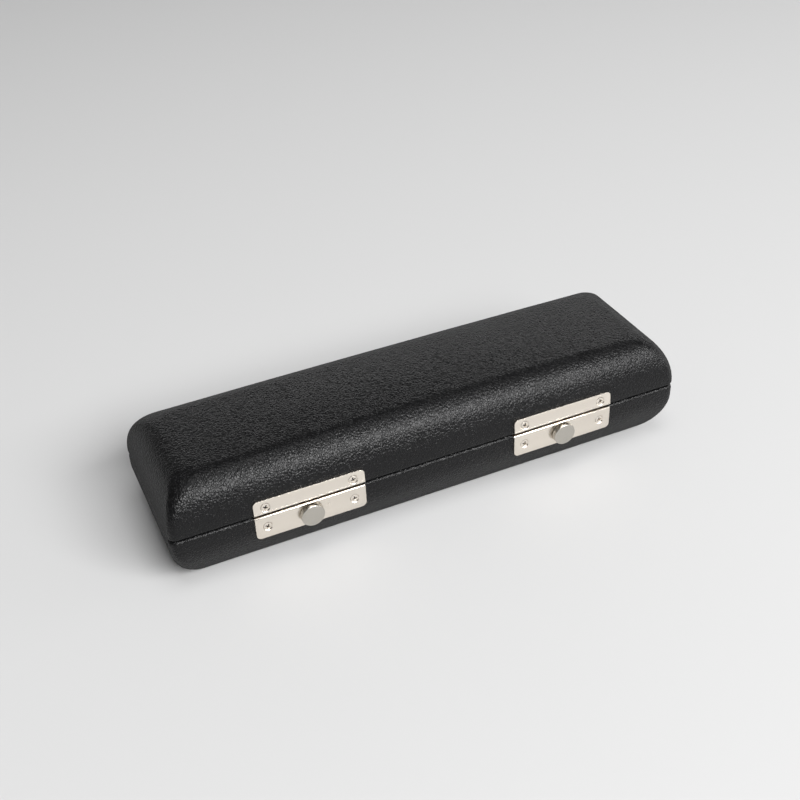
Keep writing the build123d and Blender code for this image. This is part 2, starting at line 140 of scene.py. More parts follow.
class Hardware(bpy.types.PropertyGroup):
    """Sizes of the latches, hinges and screws."""

    sheet: length("Latch sheet", "Thickness of the latch plates", 0.6)
    seat_gap: length("Seat gap", "Gap round a plate in its seat", 0.2)
    glue_line: length("Glue line", "Gap between glued or screwed layers", 0.05)
    edge: length("Sheet edge", "Rounding of the sheet metal's edges", 0.09)
    plate_gap: length("Plate gap", "Gap between a latch plate and its catch plate", 1.6)
    flange_seat: length("Flange seat", "Depth of the catch plate's seat in the lid's rim", 1.8)
    knob_edge: length("Knob edge", "Rounding of the knob's rim", 0.4)
    knob_chamfer: length("Knob chamfer", "Chamfer at the knob's back", 0.25)
    knob_dome: length("Knob dome", "Rise of the knob's face", 0.18)
    knob_rings: count("Knob rings", "Rings over the knob's domed face", 10)
    neck_radius: length("Neck radius", "Radius of the knob's neck", 1.6)
    rivet_radius: length("Rivet radius", "Radius of the rivet in the bolt", 1.1)
    neck_gap: length("Neck gap", "Gap between the knob and its plate", 0.15)
    bolt_gap: length("Bolt gap", "Gap between the plate and the bolt", 0.25)
    screw_head: length("Screw head radius", "Radius of the sunk screw head", 1.75)
    screw_sink: length("Screw sink", "Depth of the head under the plate's face", 0.3)
    screw_shank: length("Screw shank radius", "Radius of the screw's shank", 1.0)
    screw_dome: length("Screw dome", "Rise of the screw's head", 0.16)
    recess_span: length("Recess span", "Span of the cross recess", 2.3)
    recess_width: length("Recess width", "Width of the cross recess", 0.55)
    recess_depth: length("Recess depth", "Depth of the cross recess", 0.7)
    screw_seed: count("Screw seed", "Seed for how each screw is turned", 4)


class Interior(bpy.types.PropertyGroup):
    """Sizes of the plush parts."""

    voxel: length("Plush voxel", "Size of the cells that the well block is remeshed in", 0.95)
    soften: count("Soften", "Rounds of smoothing on the well block", 7)
    lining: length("Lining", "Thickness of the lid's side lining", 2.2)
    pad: length("Pad", "Thickness of the lid's pad in its middle", 4.0)
    pad_margin: length("Pad margin", "Width of the channel round the pad", 1.6)
    pad_seat: length("Pad seat", "Depth of the channel round the pad", 1.3)
    hem: length("Hem", "Rounding of the lining's lower edge", 0.9)


class Finishes(bpy.types.PropertyGroup):
    """Colours and grain sizes of the finishes."""

    leatherette: colour("Leatherette", "Black of the leatherette", "#0A0A0B")
    # Painted shade: the creases keep the darker black and the raised pebbles get this lighter one
    leatherette_worn: colour("Leatherette, raised", "Slightly lighter black on the pebbles", "#0E0E0F")
    pebble: length("Pebble", "Width of one pebble of the grain", 1.15)
    nickel: colour("Nickel", "Warm white of nickel plate", "#EAE2D7")
    knob: colour("Knob metal", "Turned knob", "#BDB9B1")
    zinc: colour("Zinc", "Zinc plated inner steel", "#A5A8AA")
    wire: colour("Spring wire", "Bright spring wire", "#9A9C9E")
    plush: colour("Plush", "Blue-black plush", "#262D45")
    # Painted sheen: a lighter blue for patches of plush whose pile would catch the light
    plush_light: colour("Plush, brushed", "Plush where its pile lies towards the light", "#3A4468")
    wood: colour("Wood", "Moulded beech ply", "#B08A5E")
    wood_dark: colour("Wood, dark grain", "Darker grain of the ply", "#8E6A45")


class Studio(bpy.types.PropertyGroup):
    """Camera, lamps and table."""

    camera_place: FloatVectorProperty(name="Camera place", description="Where the camera stands",
                                      default=(-0.16691, -0.38665, 0.3323), subtype="XYZ", unit="LENGTH")
    camera_yaw: number("Yaw", "Turn of the view from +Y towards +X", 0.401488, subtype="ANGLE")
    camera_pitch: number("Pitch", "Tilt of the view below the horizon", 0.615101, subtype="ANGLE")
    camera_roll: number("Roll", "Roll of the view", -0.049108, subtype="ANGLE")
    lens: number("Lens", "Focal length in millimetres on a 36 mm sensor", 52.997)
    table: colour("Table", "Pale table top", "#D0D0D0")
    backdrop: colour("Backdrop", "What shows past the table", "#E4E4E4")
    room: number("Room", "Strength of the light from all round", 0.13)
    glow: number("Screen glow", "Strength of the light off the lit screen behind the case", 1.9)
    key_power: number("Key power", "Power of the softbox in front in watts", 112.0, unit="POWER")
    top_power: number("Top power", "Power of the softbox above the front in watts", 16.0, unit="POWER")
    side_power: number("Side power", "Power of the low softbox at the right in watts", 16.0, unit="POWER")


SETTINGS = {"form": CaseForm, "hardware": Hardware, "interior": Interior, "finishes": Finishes,
            "studio": Studio}


def settings(name):
    """One group of settings of the scene."""
    return getattr(bpy.context.scene, f"piccolo_{name}")


# Shader trees

def add(tree, kind, inputs=None, **values):
    """One node with its settings; an input takes a value or another node's output."""
    node = tree.nodes.new(kind)
    for key, value in values.items():
        setattr(node, key, value)
    for socket, value in (inputs or {}).items():
        if isinstance(value, bpy.types.NodeSocket):
            tree.links.new(value, node.inputs[socket])
        else:
            node.inputs[socket].default_value = value
    return node


MADE = {}


def made_of(build, *given):
    """The material named after the function that returns its shader, and after what that is given."""
    name = "_".join((build.__name__, *given))
    if name not in MADE:
        material = MADE[name] = bpy.data.materials.new(name)
        material.use_nodes = True
        tree = material.node_tree
        tree.nodes.clear()
        place = add(tree, "ShaderNodeTexCoord").outputs["Object"]
        shader = build(tree, place, *given)
        add(tree, "ShaderNodeOutputMaterial", {"Surface": shader.outputs[0]})
    return MADE[name]


def rgba(value):
    """A colour with full alpha."""
    return (*value, 1.0)


def pebbled_leatherette(tree, place):
    """PU leatherette, embossed with a pebble grain and calendered: a soft sheen on the raised pebbles."""
    finish = settings("finishes")
    # Swirls carry the pebbles off their places, by a share of a pebble's width
    swirl, swirl_scale = 1.5 * finish.pebble, 0.45 / finish.pebble
    # The grain runs finer along the case than across it
    stretch = (1.25, 0.9, 0.9)
    scale, pore_scale = 1 / finish.pebble, 2.6 / finish.pebble
    doming, pore_depth, depth = -1.6, 0.5, 0.065 * MM
    drift = add(tree, "ShaderNodeTexNoise", {"Vector": place, "Scale": swirl_scale, "Detail": 2.0})
    centred = add(tree, "ShaderNodeVectorMath", {0: drift.outputs["Color"], 1: (0.5, 0.5, 0.5)},
                  operation="SUBTRACT").outputs[0]
    shift = add(tree, "ShaderNodeVectorMath", {0: centred, "Scale": swirl}, operation="SCALE").outputs[0]
    drawn = add(tree, "ShaderNodeVectorMath", {0: place, 1: stretch}, operation="MULTIPLY").outputs[0]
    warped = add(tree, "ShaderNodeVectorMath", {0: drawn, 1: shift}).outputs[0]
    domes = add(tree, "ShaderNodeTexVoronoi", {"Vector": warped, "Scale": scale, "Smoothness": 0.25},
                feature="SMOOTH_F1")
    borders = add(tree, "ShaderNodeTexVoronoi", {"Vector": warped, "Scale": scale},
                  feature="DISTANCE_TO_EDGE")
    pebbles = add(tree, "ShaderNodeMapRange", {"Value": borders.outputs["Distance"], "From Max": 0.3},
                  interpolation_type="SMOOTHSTEP").outputs[0]
    crown = add(tree, "ShaderNodeMath", {0: domes.outputs["Distance"], 1: 2.0}, operation="POWER").outputs[0]
    level = add(tree, "ShaderNodeMath", {0: crown, 1: doming, 2: pebbles},
                operation="MULTIPLY_ADD").outputs[0]
    pores = add(tree, "ShaderNodeTexNoise", {"Vector": warped, "Scale": pore_scale, "Detail": 2.0})
    relief = add(tree, "ShaderNodeMath", {0: pores.outputs["Fac"], 1: pore_depth, 2: level},
                 operation="MULTIPLY_ADD").outputs[0]
    # Painted shade: the creases between the pebbles are a darker black than the pebbles' tops
    skin = add(tree, "ShaderNodeMix", {
        "Factor": pebbles, "A": rgba(finish.leatherette), "B": rgba(finish.leatherette_worn)},
        data_type="RGBA")
    patches = add(tree, "ShaderNodeTexNoise", {"Vector": place, "Scale": 60.0, "Detail": 3.0})
    gloss = add(tree, "ShaderNodeMapRange", {
        "Value": patches.outputs["Fac"], "To Min": 0.19, "To Max": 0.25}).outputs[0]
    crease = add(tree, "ShaderNodeMapRange", {"Value": pebbles, "To Min": 0.1, "To Max": 0.0}).outputs[0]
    # Seen along the surface, the grain's flanks hide its polished tops
    slant = add(tree, "ShaderNodeLayerWeight", {"Blend": 0.5}).outputs["Facing"]
    flanks = add(tree, "ShaderNodeMapRange", {
        "Value": slant, "From Min": 0.45, "From Max": 0.9, "To Min": 0.0, "To Max": 0.45}).outputs[0]
    grained = add(tree, "ShaderNodeMath", {0: gloss, 1: crease}).outputs[0]
    rough = add(tree, "ShaderNodeMath", {0: grained, 1: flanks}).outputs[0]
    bump = add(tree, "ShaderNodeBump", {"Height": relief, "Strength": 1.0, "Distance": depth})
    return add(tree, "ShaderNodeBsdfPrincipled", {
        "Base Color": skin.outputs["Result"], "Roughness": rough, "IOR": 1.46,
        "Specular IOR Level": 0.28, "Normal": bump.outputs[0]})


def plated_nickel(tree, place):
    """Nickel plate over polished steel sheet: a warm white mirror, blurred a little by fine scratches."""
    drawn = add(tree, "ShaderNodeMapping", {"Vector": place, "Scale": (60.0, 900.0, 1800.0)}).outputs[0]
    scratches = add(tree, "ShaderNodeTexNoise", {"Vector": drawn, "Scale": 1.0, "Detail": 3.0})
    haze = add(tree, "ShaderNodeTexNoise", {"Vector": place, "Scale": 130.0, "Detail": 2.0})
    rough = add(tree, "ShaderNodeMapRange", {
        "Value": haze.outputs["Fac"], "To Min": 0.2, "To Max": 0.3}).outputs[0]
    bump = add(tree, "ShaderNodeBump", {
        "Height": scratches.outputs["Fac"], "Strength": 0.12, "Distance": 0.02 * MM})
    return add(tree, "ShaderNodeBsdfPrincipled", {
        "Base Color": rgba(settings("finishes").nickel), "Metallic": 1.0, "Roughness": rough,
        "Normal": bump.outputs[0]})


def turned_metal(tree, place, side):
    """Nickel silver faced on a lathe: fine rings and an even grey sheen."""
    low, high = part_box(f"knob_{side}")
    centre = (low + high) / 2
    # Lathe rings are about 0.05 mm apart; 0.16 mm is as fine as shows
    turns = math.tau / (0.16 * MM)
    local = add(tree, "ShaderNodeVectorMath", {0: place, 1: (centre.x, 0, centre.z)},
                operation="SUBTRACT").outputs[0]
    flat = add(tree, "ShaderNodeVectorMath", {0: local, 1: (1, 0, 1)}, operation="MULTIPLY").outputs[0]
    radius = add(tree, "ShaderNodeVectorMath", {0: flat}, operation="LENGTH").outputs["Value"]
    phase = add(tree, "ShaderNodeMath", {0: radius, 1: turns}, operation="MULTIPLY").outputs[0]
    rings = add(tree, "ShaderNodeMath", {0: phase}, operation="SINE").outputs[0]
    haze = add(tree, "ShaderNodeTexNoise", {"Vector": place, "Scale": 700.0, "Detail": 2.0})
    height = add(tree, "ShaderNodeMath", {0: haze.outputs["Fac"], 1: 0.5, 2: rings},
                 operation="MULTIPLY_ADD").outputs[0]
    bump = add(tree, "ShaderNodeBump", {"Height": height, "Strength": 0.5, "Distance": 0.006 * MM})
    return add(tree, "ShaderNodeBsdfPrincipled", {
        "Base Color": rgba(settings("finishes").knob), "Metallic": 1.0, "Roughness": 0.27,
        "Normal": bump.outputs[0]})


def zinc_steel(tree, place):
    """Zinc plated steel: a grey, slightly spangled metal."""
    spangle = add(tree, "ShaderNodeTexVoronoi", {"Vector": place, "Scale": 500.0})
    rough = add(tree, "ShaderNodeMapRange", {
        "Value": spangle.outputs["Distance"], "To Min": 0.3, "To Max": 0.5}).outputs[0]
    return add(tree, "ShaderNodeBsdfPrincipled", {
        "Base Color": rgba(settings("finishes").zinc), "Metallic": 1.0, "Roughness": rough})


def spring_wire(tree, place):
    """Hard-drawn spring wire: bright, with fine drawing lines."""
    lines = add(tree, "ShaderNodeTexNoise", {"Vector": place, "Scale": 2500.0, "Detail": 2.0})
    rough = add(tree, "ShaderNodeMapRange", {
        "Value": lines.outputs["Fac"], "To Min": 0.2, "To Max": 0.4}).outputs[0]
    return add(tree, "ShaderNodeBsdfPrincipled", {
        "Base Color": rgba(settings("finishes").wire), "Metallic": 1.0, "Roughness": rough})


def cotton_plush(tree, place):
    """Short cotton plush: matt, with painted sheen in lighter patches where its pile would catch the light.
    """
    finish = settings("finishes")
    sheen_patches = add(tree, "ShaderNodeTexNoise", {
        "Vector": place, "Scale": 28.0, "Detail": 3.0, "Distortion": 0.8})
    fibre = add(tree, "ShaderNodeTexNoise", {"Vector": place, "Scale": 2600.0, "Detail": 2.0})
    tuft = add(tree, "ShaderNodeTexVoronoi", {"Vector": place, "Scale": 1500.0})
    # The fine fibre speckle is the plush's own tone; the larger patches are painted sheen
    blend = add(tree, "ShaderNodeMath", {0: fibre.outputs["Fac"], 1: 0.55, 2: sheen_patches.outputs["Fac"]},
                operation="MULTIPLY_ADD").outputs[0]
    tone = add(tree, "ShaderNodeMapRange", {"Value": blend, "From Min": 0.45, "From Max": 1.15}).outputs[0]
    skin = add(tree, "ShaderNodeMix", {
        "Factor": tone, "A": rgba(finish.plush), "B": rgba(finish.plush_light)}, data_type="RGBA")
    pile = add(tree, "ShaderNodeMath", {0: tuft.outputs["Distance"], 1: fibre.outputs["Fac"]}).outputs[0]
    bump = add(tree, "ShaderNodeBump", {"Height": pile, "Strength": 0.7, "Distance": 0.25 * MM})
    return add(tree, "ShaderNodeBsdfPrincipled", {
        "Base Color": skin.outputs["Result"], "Roughness": 0.92, "Sheen Weight": 0.5,
        "Sheen Roughness": 0.35, "Normal": bump.outputs[0]})


def beech_ply(tree, place):
    """Moulded beech ply, sanded and left bare: a fine grain that runs along the case."""
    finish = settings("finishes")
    drawn = add(tree, "ShaderNodeMapping", {"Vector": place, "Scale": (14.0, 420.0, 420.0)}).outputs[0]
    grain = add(tree, "ShaderNodeTexNoise", {"Vector": drawn, "Scale": 1.0, "Detail": 4.0}).outputs["Fac"]
    skin = add(tree, "ShaderNodeMix", {
        "Factor": grain, "A": rgba(finish.wood_dark), "B": rgba(finish.wood)}, data_type="RGBA")
    bump = add(tree, "ShaderNodeBump", {"Height": grain, "Strength": 0.3, "Distance": 0.05 * MM})
    return add(tree, "ShaderNodeBsdfPrincipled", {
        "Base Color": skin.outputs["Result"], "Roughness": 0.6, "Normal": bump.outputs[0]})


def table_top(tree, place):
    """Smooth card of a studio table: matt, and the same pale grey all over."""
    tooth = add(tree, "ShaderNodeTexNoise", {"Vector": place, "Scale": 900.0, "Detail": 2.0})
    bump = add(tree, "ShaderNodeBump", {
        "Height": tooth.outputs["Fac"], "Strength": 0.05, "Distance": 0.05 * MM})
    return add(tree, "ShaderNodeBsdfPrincipled", {
        "Base Color": rgba(settings("studio").table), "Roughness": 0.75, "Specular IOR Level": 0.2,
        "Normal": bump.outputs[0]})


# Meshes

def put(name, data):
    """A new object of the scene that shows this data."""
    item = bpy.data.objects.new(name, data)
    bpy.context.scene.collection.objects.link(item)
    return item


def new_piece(name, points, faces):
    """An object at the origin with a mesh of these points and faces."""
    mesh = bpy.data.meshes.new(name)
    mesh.from_pydata(points, [], faces)
    mesh.update()
    return put(name, mesh)


def node_copy(name, node):
    """An object with a copy of a CAD node's mesh."""
    return put(name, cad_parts[node].data.copy())


def bake(piece):
    """Turns the piece's modifiers into its mesh."""
    bpy.context.view_layer.update()
    shown = piece.evaluated_get(bpy.context.evaluated_depsgraph_get())
    mesh = bpy.data.meshes.new_from_object(shown)
    piece.modifiers.clear()
    piece.data = mesh
    mesh.name = piece.name


def tidy(piece, weld=0.0):
    """Welds doubles, drops loose points and turns the faces outwards."""
    mesh = bmesh.new()
    mesh.from_mesh(piece.data)
    if weld:
        bmesh.ops.remove_doubles(mesh, verts=mesh.verts, dist=weld)
    bmesh.ops.delete(mesh, geom=[v for v in mesh.verts if not v.link_faces], context="VERTS")
    bmesh.ops.recalc_face_normals(mesh, faces=mesh.faces)
    mesh.to_mesh(piece.data)
    mesh.free()


def dress(piece, body, slot, material, *nodes, sharp=40.0):
    """Shades a finished piece, gives it its finish and puts it on its body in place of its nodes."""
    piece.data.shade_smooth()
    piece.data.set_sharp_from_angle(angle=math.radians(sharp))
    piece.data.materials.clear()
    piece.data.materials.append(material)
    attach(piece, body)
    if nodes:
        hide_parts(*nodes)


def arc(steps):
    """Angles of a quarter turn in equal steps, from 0."""
    return [math.radians(90 * k / steps) for k in range(steps + 1)]


def rounded_ring(half_length, half_width, radius, height):
    """Points round a rounded rectangle from its front left corner's middle, anticlockwise from above."""
    form = settings("form")
    half_corner = form.corner_steps // 2
    steps = [form.long_steps, form.short_steps] * 2
    centres = [Vector((x * (half_length - radius), y * (half_width - radius), height)) for x, y in CORNERS]
    points = []
    for side in range(4):
        facing = math.radians(90 * side - 90)
        here, there = centres[side], centres[(side + 1) % 4]

        def arm(turn):
            return Vector((math.cos(facing + turn), math.sin(facing + turn), 0)) * radius

        for k in range(half_corner):
            points.append(here + arm(math.radians(45) * (k / half_corner - 1)))
        for k in range(steps[side]):
            points.append(here.lerp(there, k / steps[side]) + arm(0))
        for k in range(half_corner):
            points.append(there + arm(math.radians(45) * k / half_corner))
    return points


def case_ring(offset, share, height, rounding, growth):
    """One level of a layer: offset inwards from the leatherette, and rounded in by a share."""
    form = settings("form")
    end = max(rounding[0] - offset, 0) * share
    side = max(rounding[1] - offset, 0) * share
    radius = max(form.corner_radius + growth * min(end, side) - offset, form.least_radius)
    return rounded_ring(LENGTH / 2 - offset - end, WIDTH / 2 - offset - side, radius, height)


def ring_stack(levels):
    """Points and faces of rings stacked from first to last, as a tube that is open at both ends."""
    points = [p for ring in levels for p in ring]
    around = len(levels[0])
    faces = []
    for start in range(0, around * (len(levels) - 1), around):
        for i in range(around):
            j = (i + 1) % around
            faces.append((start + i, start + j, start + around + j, start + around + i))
    return points, faces


def cap(points, faces, start):
    """Closes the ring that starts at a point's index with a patch of squares."""
    form = settings("form")
    columns = form.long_steps + form.corner_steps // 2 * 2
    rows = form.short_steps + form.corner_steps // 2 * 2
    total = 2 * (columns + rows)
    front = [start + i for i in range(columns + 1)]
    right = [start + columns + j for j in range(rows + 1)]
    back = [start + 2 * columns + rows - i for i in range(columns + 1)]
    left = [start + (total - j) % total for j in range(rows + 1)]
    grid = [left]
    for i in range(1, columns):
        u = i / columns
        low = points[front[0]].lerp(points[front[-1]], u)
        high = points[back[0]].lerp(points[back[-1]], u)
        grid.append([front[i], *range(len(points), len(points) + rows - 1), back[i]])
        for j in range(1, rows):
            v = j / rows
            across = points[front[i]].lerp(points[back[i]], v)
            along = points[left[j]].lerp(points[right[j]], u)
            points.append(across + along - low.lerp(high, v))
    grid.append(right)
    for i in range(columns):
        for j in range(rows):
            faces.append((grid[i][j], grid[i + 1][j], grid[i + 1][j + 1], grid[i][j + 1]))


def closed_stack(levels):
    """Points and faces of stacked rings capped at both ends, and where each cap's own points start."""
    points, faces = ring_stack(levels)
    first = len(points)
    cap(points, faces, 0)
    last = len(points)
    cap(points, faces, first - len(levels[0]))
    return points, faces, first, last


def halves():
    """The two halves' forms, from the rim to the tip of the rounding."""
    form = settings("form")
    lid = Half(LID_RIM, 1, form.lid_rim_round, LID_RIM + form.lid_straight, HEIGHT,
               (form.lid_round_end, form.lid_round_side), form.lid_fullness, form.lid_growth, form.crown)
    base = Half(BASE_RIM, -1, form.base_rim_round, form.base_knee, 0.0,
                (form.base_round_end, form.base_round_side), form.base_fullness, form.base_growth, 0.0)
    return {"lid": lid, "base": base}


def cover_levels(half):
    """Rings of a cover's closed skin, from its outer face over the rim to its inner face."""
    form = settings("form")
    rim, up, knee, power = half.rim, half.up, half.knee, 2 / half.fullness
    bow = [(1 - max(math.cos(a), 0) ** power, math.sin(a) ** power) for a in reversed(arc(form.round_steps))]
    rows = [(0, inset, knee + (half.tip - knee) * rise) for inset, rise in bow]
    bend = half.rim_round
    rows += [(bend * (1 - math.cos(a)), 0, rim + up * bend * (1 - math.sin(a)))
             for a in arc(form.rim_steps)]
    bend = form.inner_round
    rows += [(form.skin - bend * (1 - math.sin(a)), 0, rim + up * bend * (1 - math.cos(a)))
             for a in arc(form.edge_steps)]
    turned_in = form.skin - form.leather
    rows += [(form.skin, 0, rim + up * form.turn_in),
             (turned_in, 0, rim + up * form.turn_in),
             (turned_in, 0, rim + up * form.leather),
             (form.leather, 0, rim + up * form.leather)]
    inner_tip = half.tip - up * form.leather
    rows += [(form.leather, inset, knee + (inner_tip - knee) * rise) for inset, rise in reversed(bow)]
    return [case_ring(offset, share, height, half.rounding, half.growth) for offset, share, height in rows]


def crowned(point, rise):
    """A point of the lid's outer face, lifted as its pillow form rises; the rounding's shoulder stays."""
    shoulder = 0.39
    pillow = (1 - (2 * point.x / LENGTH) ** 2) * (1 - (2 * point.y / WIDTH) ** 2)
    share = min(max((point.z - LID_RIM) / (HEIGHT - LID_RIM), 0), 1) ** 2
    return point + Vector((0, 0, rise * share * (pillow - shoulder)))


def swell(piece, amount, span):
    """Moves a piece's faces off their perfect form by slow noise, as hand-glued skins lie."""
    normals = [vertex.normal.copy() for vertex in piece.data.vertices]
    for vertex, normal in zip(piece.data.vertices, normals):
        vertex.co += normal * amount * noise.noise(vertex.co / span)


def subtract(piece, cutters):
    """Takes cutters out of a piece, and removes them."""
    for cutter in cutters:
        modifier = piece.modifiers.new("Cut", "BOOLEAN")
        modifier.operation = "DIFFERENCE"
        modifier.solver = "EXACT"
        modifier.object = cutter
    whole = len(piece.data.polygons)
    bake(piece)
    if len(piece.data.polygons) < whole / 2:
        raise RuntimeError(f"{piece.name} was lost in its cut")
    for cutter in cutters:
        bpy.data.objects.remove(cutter)


def cut(piece, boxes):
    """Takes boxes, each a low and a high corner, out of a piece."""
    cutters = []
    for low, high in boxes:
        mesh = bmesh.new()
        bmesh.ops.create_cube(mesh, size=1.0)
        size = Matrix.Diagonal((*(high - low), 1))
        bmesh.ops.transform(mesh, matrix=Matrix.Translation((low + high) / 2) @ size, verts=mesh.verts)
        cutter = new_piece(f"{piece.name}_cutter", [], [])
        mesh.to_mesh(cutter.data)
        mesh.free()
        cutters.append(cutter)
    subtract(piece, cutters)


def metal_copy(name, node, width):
    """A copy of a sheet metal node with its flats joined up and its edges rounded."""
    piece = node_copy(name, node)
    mesh = bmesh.new()
    mesh.from_mesh(piece.data)
    bmesh.ops.remove_doubles(mesh, verts=mesh.verts, dist=WELD)
    bmesh.ops.dissolve_limit(mesh, angle_limit=math.radians(0.5), verts=mesh.verts, edges=mesh.edges)
    mesh.to_mesh(piece.data)
    mesh.free()
    bevel = piece.modifiers.new("Edges", "BEVEL")
    bevel.width = width
    bevel.segments = 2
    bevel.limit_method = "ANGLE"
    bevel.angle_limit = math.radians(35)
    bevel.use_clamp_overlap = True
    bake(piece)
    return piece


def turned(name, profile, centre, out, steps=96):
    """A turned piece: profile points are (radius, distance out along the axis)."""
    side = out.orthogonal().normalized()
    other = out.cross(side)
    points, faces, rings = [], [], []
    for radius, along in profile:
        middle = centre + out * along
        if radius == 0:
            rings.append([len(points)])
            points.append(middle)
            continue
        rings.append(list(range(len(points), len(points) + steps)))
        for k in range(steps):
            turn = math.tau * k / steps
            points.append(middle + (side * math.cos(turn) + other * math.sin(turn)) * radius)
    for low, high in zip(rings, rings[1:]):
        for k in range(steps):
            j = (k + 1) % steps
            corners = [low[k % len(low)], low[j % len(low)], high[j % len(high)], high[k % len(high)]]
            faces.append(tuple(dict.fromkeys(corners)))
    piece = new_piece(name, points, faces)
    tidy(piece)
    return piece


# Operators

class PICCOLO_OT_covers(bpy.types.Operator):
    """Leatherette skins of the lid and the base, rounded over, turned in and cut out for the latches"""

    bl_idname = "piccolo.covers"
    bl_label = "Leatherette covers"

    def execute(self, context):
        form = settings("form")
        for body, half in halves().items():
            levels = cover_levels(half)
            points, faces, first, last = closed_stack(levels)
            for k in (*range(len(levels[0]) * (form.round_steps + 1)), *range(first, last)):
                points[k] = crowned(points[k], half.crown)
            piece = new_piece(f"{body}_leatherette", points, faces)
            tidy(piece)
            swell(piece, form.unevenness, form.hand_span)
            if body == "base":
                for vertex in piece.data.vertices:
                    vertex.co.z = max(vertex.co.z, 0.0)
            cut(piece, self.seats(body))
            dress(piece, body, "leatherette", made_of(pebbled_leatherette), f"{body}_cover")
        return {"FINISHED"}

    def seats(self, body):
        """Boxes that the latch plates' flanges and the latches' pockets take out of a rim."""
        hardware = settings("hardware")
        gap = hardware.seat_gap
        # The cuts start outside the leatherette
        proud = Vector((0, 2 * MM, 0))
        boxes = []
        for side in SIDES:
            name = "latch_plate" if body == "base" else "catch_plate"
            low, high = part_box(f"{name}_{side}")
            if body == "base":
                bottom = high.z - hardware.sheet - hardware.glue_line
                boxes.append((Vector((low.x - gap, low.y, bottom)) - proud,
                              Vector((high.x + gap, high.y + gap, SEAM))))
                low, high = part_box(f"latch_guide_{side}")
                boxes.append((Vector((low.x - gap, FRONT, low.z - gap)) - proud,
                              Vector((high.x + gap, high.y + gap, SEAM))))
            else:
                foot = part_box(f"latch_plate_{side}")[1].z + hardware.plate_gap
                top = foot + hardware.sheet + hardware.glue_line
                boxes.append((Vector((low.x - gap, low.y, SEAM)) - proud,
                              Vector((high.x + gap, FRONT + hardware.flange_seat, top))))
        return boxes


class PICCOLO_OT_plates(bpy.types.Operator):
    """Latch plates, catch plates and hinge leaves: folded sheet with rounded edges"""

    bl_idname = "piccolo.plates"
    bl_label = "Latch and hinge plates"

    def execute(self, context):
        edge = settings("hardware").edge
        for side in SIDES:
            for node, body in ((f"latch_plate_{side}", "base"), (f"catch_plate_{side}", "lid"),
                               (f"hinge_leaf_lower_{side}", "base"), (f"hinge_leaf_upper_{side}", "lid")):
                piece = metal_copy(f"{node}_sheet", node, edge)
                dress(piece, body, "nickel_plate", made_of(plated_nickel), node)
        return {"FINISHED"}


class PICCOLO_OT_knobs(bpy.types.Operator):
    """Turned knobs, each with its neck and rivet"""

    bl_idname = "piccolo.knobs"
    bl_label = "Latch knobs"

    def execute(self, context):
        hardware = settings("hardware")
        for side in SIDES:
            low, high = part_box(f"knob_{side}")
            radius = (high.x - low.x) / 2
            centre = Vector(((low.x + high.x) / 2, FRONT, (low.z + high.z) / 2))
            face = FRONT - low.y
            seat = hardware.sheet + hardware.neck_gap
            bend = hardware.knob_edge
            rim = face - hardware.knob_dome
            profile = [
                (0, FRONT - high.y),
                (hardware.rivet_radius, FRONT - high.y),
                (hardware.rivet_radius, -hardware.bolt_gap),
                (hardware.neck_radius, -hardware.bolt_gap),
                (hardware.neck_radius, seat),
                (radius - hardware.knob_chamfer, seat),
                (radius, seat + hardware.knob_chamfer),
                (radius, rim - bend),
            ]
            profile += [(radius - bend * (1 - math.cos(a)), rim - bend * (1 - math.sin(a)))
                        for a in arc(7)[1:]]
            crest = radius - bend
            shares = [1 - k / hardware.knob_rings for k in range(1, hardware.knob_rings + 1)]
            profile += [(crest * share, rim + hardware.knob_dome * (1 - share ** 2)) for share in shares]
            profile[-1] = (0, face)
            piece = turned(f"knob_{side}_turned", profile, centre, Vector((0, -1, 0)))
            metal = made_of(turned_metal, side)
            dress(piece, f"knob_{side}", "knob_metal", metal, f"knob_{side}", sharp=30.0)
        return {"FINISHED"}


class PICCOLO_OT_pins(bpy.types.Operator):
    """Hinge pins with domed ends"""

    bl_idname = "piccolo.pins"
    bl_label = "Hinge pins"

    def execute(self, context):
        # Rise of a pin's end against its radius
        rise = 0.35
        for side in SIDES:
            low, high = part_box(f"hinge_pin_{side}")
            centre = (low + high) / 2
            radius = (high.z - low.z) / 2
            half = (high.x - low.x) / 2
            dome = [(radius * math.sin(a), half - rise * radius * (1 - math.cos(a))) for a in arc(5)[1:]]
            start, end = [(r, -x) for r, x in dome], [(r, x) for r, x in reversed(dome)]
            profile = [(0, -half), *start, *end, (0, half)]
            piece = turned(f"hinge_pin_{side}_rod", profile, centre, Vector((1, 0, 0)), steps=32)
            dress(piece, "base", "inner_steel", made_of(zinc_steel), f"hinge_pin_{side}")
        return {"FINISHED"}


def cross_head_screw():
    """The screw that the screw sets repeat: sunk head at the origin, point towards -Z."""
    hardware = settings("hardware")
    head, shank = hardware.screw_head, hardware.screw_shank
    low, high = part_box("base_latch_screws")
    depth = high.y - low.y - hardware.screw_sink
    # The dome stands on a low step, a little inside the head's edge
    step, inside, rings = 0.05 * MM, 0.94, 5
    shares = [1 - k / rings for k in range(rings)]
    profile = [(0, -depth), (shank, -depth + shank), (shank, shank - head), (head, 0)]
    profile += [(head * share * inside, hardware.screw_dome * (1 - share ** 2) + step) for share in shares]
    profile.append((0, hardware.screw_dome + step))
    screw = turned("cross_head_screw", profile, Vector(), Vector((0, 0, 1)), steps=28)
    span, width = hardware.recess_span / 2, hardware.recess_width / 2
    top, bottom = hardware.screw_dome * 2, -hardware.recess_depth
    # Span of the recess's floor against its mouth
    narrow = 0.55
    cutters = []
    for long_x, long_y in ((span, width), (width, span)):
        points = [(x * long_x * narrow, y * long_y * narrow, bottom) for x, y in CORNERS]
        points += [(x * long_x, y * long_y, top) for x, y in CORNERS]
        sides = [(i, (i + 1) % 4, 4 + (i + 1) % 4, 4 + i) for i in range(4)]
        cutters.append(new_piece("recess", points, [(3, 2, 1, 0), (4, 5, 6, 7), *sides]))
    subtract(screw, cutters)
    return screw


